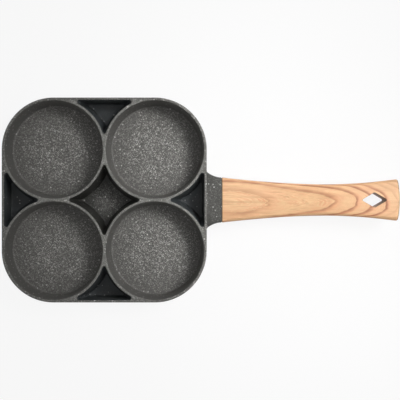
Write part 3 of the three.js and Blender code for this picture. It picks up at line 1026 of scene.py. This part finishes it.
def raise_surface(tree, shader, height, strength, distance):
    bump = add_node(tree, "Bump", {"Height": height, "Strength": strength, "Distance": distance})
    fill(tree, shader.inputs["Normal"], bump.outputs["Normal"])


def stone_coat():
    material, tree, shader = new_finish("stone_coat")
    place = add_node(tree, "TexCoord").outputs["Object"]
    quarter = calculate_vector(tree, "ABSOLUTE", place)
    radius = flat_length(tree, offset_from_cup(tree, quarter))
    # The attribute, and the share worked out from it, carry the spray and the painted shade together.
    part_spray_and_shade = add_node(tree, "Attribute", attribute_name="spray_and_shade").outputs["Fac"]
    spray_and_shade_share = spray_with_tip_shade(tree, radius, part_spray_and_shade)
    landing = grains_landing(tree, quarter, radius, spray_and_shade_share)
    grain = coat_grains(tree, place, landing)
    fleck = coat_flecks(tree, place, landing)
    colour = coat_ground(tree, quarter, part_spray_and_shade, spray_and_shade_share)
    colour = mix_colours(tree, grain, colour, COAT_GRAIN)
    colour = mix_colours(tree, fleck, colour, COAT_FLECK)
    fill(tree, shader.inputs["Base Color"], colour)
    fill(tree, shader.inputs["Roughness"], spread(tree, grain, *COAT_ROUGHNESS))
    fill(tree, shader.inputs["Specular IOR Level"], COAT_SPECULAR)
    raise_surface(tree, shader, calculate(tree, "ADD", grain, fleck), COAT_BUMP_STRENGTH, COAT_BUMP)
    return material


def dress(material, *worn_by):
    for piece in worn_by:
        piece.data.materials.clear()
        piece.data.materials.append(material)
    print(material.name, "on", [piece.name for piece in worn_by])


dress(stone_coat(), cup_casting)

# %% [markdown]
# ## Handle wood
# The grain lines on top of the handle are the yearly rings of the tree, cut at a shallow slant: they run
# along the front half and close into arches towards the end.
# Painting arches by hand would leave the sides wrong. Here the tree itself is described: a straight pith
# runs above the handle and climbs away from it, each ring is a distance from that pith, and every face of
# the handle shows the right cut of the same rings. Rings of equal area get thinner outwards, as they do
# in a trunk. The tree is measured in millimetres. In this step, a value that ends in GRAIN is a noise
# drawn out along the wood: its length, its width and its detail.

# %% Rings of the tree
PITH_AT_FRONT = 25.5
PITH_SLOPE = 0.265
PITH_Y = -2.0
FIRST_RING_AREA = 348
RING_AREA_OUTSIDE = 160
RING_AREA_INSIDE = 242.5
CUT_SLANT = 0.18
SWAY_GRAIN = (45, 14, 4)
SWAY_SHIFT = (0.2, 0.8, -1.1, 1.1)
KNOT_GRAIN = (8, 3, 2)
KNOT_SHIFT = (0.3, 0.7, -0.9, 0.9)


def grain_noise(tree, place, length, width, detail):
    drawn_out = calculate_vector(tree, "MULTIPLY", place, (1 / length, 1 / width, 1 / width))
    return add_node(tree, "TexNoise", {"Vector": drawn_out, "Scale": 1, "Detail": detail}).outputs["Fac"]


def square_sum(tree, *terms):
    return calculate(tree, "ADD", *[calculate(tree, "MULTIPLY", term, term) for term in terms])


def from_pith(tree, axes, sway):
    pith_at_origin = PITH_AT_FRONT - PITH_SLOPE * neck_end / MM
    pith = calculate(tree, "MULTIPLY_ADD", axes["X"], PITH_SLOPE, pith_at_origin)
    below = calculate(tree, "ADD", calculate(tree, "SUBTRACT", axes["Z"], pith), sway)
    beside = calculate(tree, "ADD", calculate(tree, "SUBTRACT", axes["Y"], PITH_Y), sway)
    return below, beside


def ring_phase(tree, place):
    axes = add_node(tree, "SeparateXYZ", {"Vector": place}).outputs
    sway = spread(tree, grain_noise(tree, place, *SWAY_GRAIN), *SWAY_SHIFT)
    calm = square_sum(tree, *from_pith(tree, axes, sway))
    near_pith = spread(tree, calm, FIRST_RING_AREA, FIRST_RING_AREA - RING_AREA_INSIDE, 0, 1)
    knotty = spread(tree, grain_noise(tree, place, *KNOT_GRAIN), *KNOT_SHIFT)
    below, beside = from_pith(tree, axes, calculate(tree, "MULTIPLY_ADD", knotty, near_pith, sway))
    area = calculate(tree, "SUBTRACT", square_sum(tree, below, beside), FIRST_RING_AREA)
    outside = calculate(tree, "DIVIDE", area, RING_AREA_OUTSIDE)
    phase = calculate(tree, "MAXIMUM", outside, calculate(tree, "DIVIDE", area, RING_AREA_INSIDE))
    along = calculate(tree, "MULTIPLY", below, CUT_SLANT)
    steep = calculate(tree, "SQRT", square_sum(tree, along, beside))
    return phase, calculate(tree, "MULTIPLY", steep, 2 / RING_AREA_OUTSIDE)


print("rings of", RING_AREA_OUTSIDE, "square mm a year")

# %% Lines of the yearly rings
LINE_FULL = 0.7
LINE_WIDTH = 2.9
LINE_RISE = 0.8
FADE_WIDTH = 9
FADE_LENGTH = 0.55
FADE_CURVE = 1.3
GAP_GRAIN = (22, 5, 2)
GAP_SHARE = (0.35, 0.55, 0.45, 1)
YEAR_SHARE = (0, 1, 0.85, 1)
INNER_SHARE = (-1.2, 0.9, 0.5, 1.2)
OUTER_SHARE = (3.2, 3.9, 1.2, 0.35)


def line_strength(tree, phase):
    year = calculate(tree, "FLOOR", phase)
    chance = add_node(tree, "TexWhiteNoise", {"W": year}, noise_dimensions="1D").outputs["Value"]
    inner = spread(tree, phase, *INNER_SHARE)
    outer = spread(tree, phase, *OUTER_SHARE)
    by_age = calculate(tree, "MINIMUM", inner, outer)
    return calculate(tree, "MULTIPLY", spread(tree, chance, *YEAR_SHARE), by_age)


def ring_lines(tree, phase, steep, place):
    part = calculate(tree, "FRACT", phase)
    after = calculate(tree, "DIVIDE", part, steep)
    before = calculate(tree, "DIVIDE", calculate(tree, "SUBTRACT", 1, part), steep)
    rising = spread(tree, before, LINE_RISE, 0, 0, 1)
    core = calculate(tree, "MAXIMUM", spread(tree, after, LINE_FULL, LINE_WIDTH, 1, 0), rising)
    gaps = spread(tree, grain_noise(tree, place, *GAP_GRAIN), *GAP_SHARE)
    core = calculate(tree, "MULTIPLY", core, gaps)
    in_mm = spread(tree, after, 0, FADE_WIDTH, 1, 0)
    in_year = spread(tree, part, 0, FADE_LENGTH, 1, 0)
    fade = calculate(tree, "POWER", calculate(tree, "MINIMUM", in_mm, in_year), FADE_CURVE)
    strength = line_strength(tree, phase)
    return [calculate(tree, "MULTIPLY", mark, strength) for mark in (core, fade)]


print(f"each line is {LINE_WIDTH} mm wide and fades over {FADE_WIDTH} mm")

# %% Fine lines between the rings
LINES_A_YEAR = 22
FINE_DETAIL = 1
FINE_SHARE = (0.46, 0.56, 0, 1)
LATE_SHARE = (0.2, 0.95, 0.4, 1)
PATCH_GRAIN = (18, 5, 2)
PATCH_SHARE = (0.35, 0.6, 0.3, 0.95)


def fine_lines(tree, phase, place):
    sockets = {"W": phase, "Scale": LINES_A_YEAR, "Detail": FINE_DETAIL}
    noise = add_node(tree, "TexNoise", sockets, noise_dimensions="1D").outputs["Fac"]
    late = spread(tree, calculate(tree, "FRACT", phase), *LATE_SHARE)
    lines = calculate(tree, "MULTIPLY", spread(tree, noise, *FINE_SHARE), late)
    patches = spread(tree, grain_noise(tree, place, *PATCH_GRAIN), *PATCH_SHARE)
    return calculate(tree, "MULTIPLY", lines, patches)


print("about", LINES_A_YEAR, "fine lines a year")

# %% Colours between the rings
WOOD_PALE = (0.98, 0.665, 0.38, 1)
WOOD_MID = (0.76, 0.47, 0.245, 1)
WOOD_RED = (0.80, 0.365, 0.2, 1)
WOOD_LINE = (0.40, 0.14, 0.06, 1)
BROAD_GRAIN = (70, 9, 3)
BROAD_SHARE = (0.42, 0.7, 0, 0.6)
SHADED_SIDE_SHARE = (5, -13, 0, 0.6)
FIBRE_SHARE = (0.42, 0.7, 0, 0.65)
STREAK_GRAIN = (45, 1.4, 3)
STREAK_SHARE = (0.53, 0.68, 0, 1)
STREAK_FADE_SHARE = (165, 215, 0.3, 0.12)


def wood_ground(tree, place, fibre, fine):
    axes = add_node(tree, "SeparateXYZ", {"Vector": place}).outputs
    broad = spread(tree, grain_noise(tree, place, *BROAD_GRAIN), *BROAD_SHARE)
    streak = spread(tree, grain_noise(tree, place, *STREAK_GRAIN), *STREAK_SHARE)
    streak = calculate(tree, "MULTIPLY", streak, spread(tree, axes["X"], *STREAK_FADE_SHARE))
    colour = mix_colours(tree, broad, WOOD_PALE, WOOD_MID)
    # Painted shade: the side of the handle towards -Y is mixed towards the darker wood colour.
    colour = mix_colours(tree, spread(tree, axes["Y"], *SHADED_SIDE_SHARE), colour, WOOD_MID)
    colour = mix_colours(tree, fine, colour, WOOD_RED)
    colour = mix_colours(tree, spread(tree, fibre, *FIBRE_SHARE), colour, WOOD_MID)
    return mix_colours(tree, streak, colour, WOOD_LINE)


print("wood from", WOOD_PALE[:3], "to", WOOD_LINE[:3])

# %% Handle wood finish
WOOD_END_GRAIN_AND_SHADE = (0.17, 0.075, 0.032, 1)
END_GRAIN_AND_SHADE_SHARE = (0.28, 0.55, 0, 0.8)
FIBRE_GRAIN = (24, 0.8, 4)
CORE_SHARE = (0.3, 0.7, 0.95, 0.65)
PORE_GRAIN = (5, 0.3, 2)
PORE_SHARE = (0.6, 0.75, 0, 0.3)
WOOD_ROUGHNESS = (0.3, 0.7, 0.42, 0.56)
FIBRE_BUMP = 0.05 * MM
FIBRE_BUMP_STRENGTH = 0.35


def handle_wood():
    material, tree, shader = new_finish("handle_wood")
    metres = add_node(tree, "TexCoord").outputs["Object"]
    place = add_node(tree, "VectorMath", {0: metres, "Scale": 1 / MM}, operation="SCALE").outputs[0]
    phase, steep = ring_phase(tree, place)
    core, fade = ring_lines(tree, phase, steep, place)
    fibre = grain_noise(tree, place, *FIBRE_GRAIN)
    core = calculate(tree, "MULTIPLY", core, spread(tree, fibre, *CORE_SHARE))
    pore = spread(tree, grain_noise(tree, place, *PORE_GRAIN), *PORE_SHARE)
    end_face = calculate(tree, "ABSOLUTE", facing(tree, "X"))
    colour = wood_ground(tree, place, fibre, fine_lines(tree, phase, place))
    colour = mix_colours(tree, fade, colour, WOOD_RED)
    colour = mix_colours(tree, core, colour, WOOD_LINE)
    colour = mix_colours(tree, pore, colour, WOOD_LINE)
    # Faces along the length turn dark: darker end grain, and also painted shade on the hanging hole's
    # walls and the ends.
    colour = mix_colours(tree, spread(tree, end_face, *END_GRAIN_AND_SHADE_SHARE), colour, WOOD_END_GRAIN_AND_SHADE)
    fill(tree, shader.inputs["Base Color"], colour)
    fill(tree, shader.inputs["Roughness"], spread(tree, fibre, *WOOD_ROUGHNESS))
    raise_surface(tree, shader, fibre, FIBRE_BUMP_STRENGTH, FIBRE_BUMP)
    return material


dress(handle_wood(), wood_handle)

# %% [markdown]
# ## Zinc-plated steel
# The fixings are bright zinc on steel, turned and stamped. A plain metal would look like a mirror here.
# The finish is a metal whose roughness and height follow fine circles round the screw, with cloudy
# patches in the plating.

# %% Zinc-plated steel finish
TOOL_MARK = 0.12 * MM
MARK_ROUGHNESS = (0.3, 0.7, 0.28, 0.42)
MARK_BUMP = 0.01 * MM
MARK_BUMP_STRENGTH = 0.4
PLATING_PATCH = 1.5 * MM
PLATING_SHARE = (0.3, 0.7, 0, 1)
ZINC_DARK = (0.46, 0.46, 0.46, 1)
ZINC_PALE = (0.64, 0.64, 0.66, 1)


def zinc_steel():
    material, tree, shader = new_finish("zinc_steel")
    place = add_node(tree, "TexCoord").outputs["Object"]
    radius = flat_length(tree, calculate_vector(tree, "SUBTRACT", place, (screw_x, 0, 0)))
    circles = add_node(tree, "TexNoise", {"W": radius, "Scale": 1 / TOOL_MARK}, noise_dimensions="1D")
    marks = circles.outputs["Fac"]
    patch = add_node(tree, "TexNoise", {"Vector": place, "Scale": 1 / PLATING_PATCH}).outputs["Fac"]
    colour = mix_colours(tree, spread(tree, patch, *PLATING_SHARE), ZINC_DARK, ZINC_PALE)
    fill(tree, shader.inputs["Base Color"], colour)
    fill(tree, shader.inputs["Roughness"], spread(tree, marks, *MARK_ROUGHNESS))
    fill(tree, shader.inputs["Metallic"], 1)
    raise_surface(tree, shader, marks, MARK_BUMP_STRENGTH, MARK_BUMP)
    return material


dress(zinc_steel(), pan_head_screw, plain_washer, split_washer)

# %% [markdown]
# ## Hand over to the frame
# Nothing on this pan moves, so every piece rides on the one body of the frame. Each piece stands for its
# solid, which is hidden, and the table also names the finish of each. The visual model has to stay
# inside the box of the solids.

# %% Bodies and solids
stands_for = [
    (cup_casting, "pan_casting", "stone_coat"),
    (wood_handle, "handle", "handle_wood"),
    (pan_head_screw, "handle_screw", "zinc_steel"),
    (plain_washer, "flat_washer", "zinc_steel"),
    (split_washer, "spring_washer", "zinc_steel"),
]
for piece, node, slot in stands_for:
    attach(piece, "root")
    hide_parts(node)
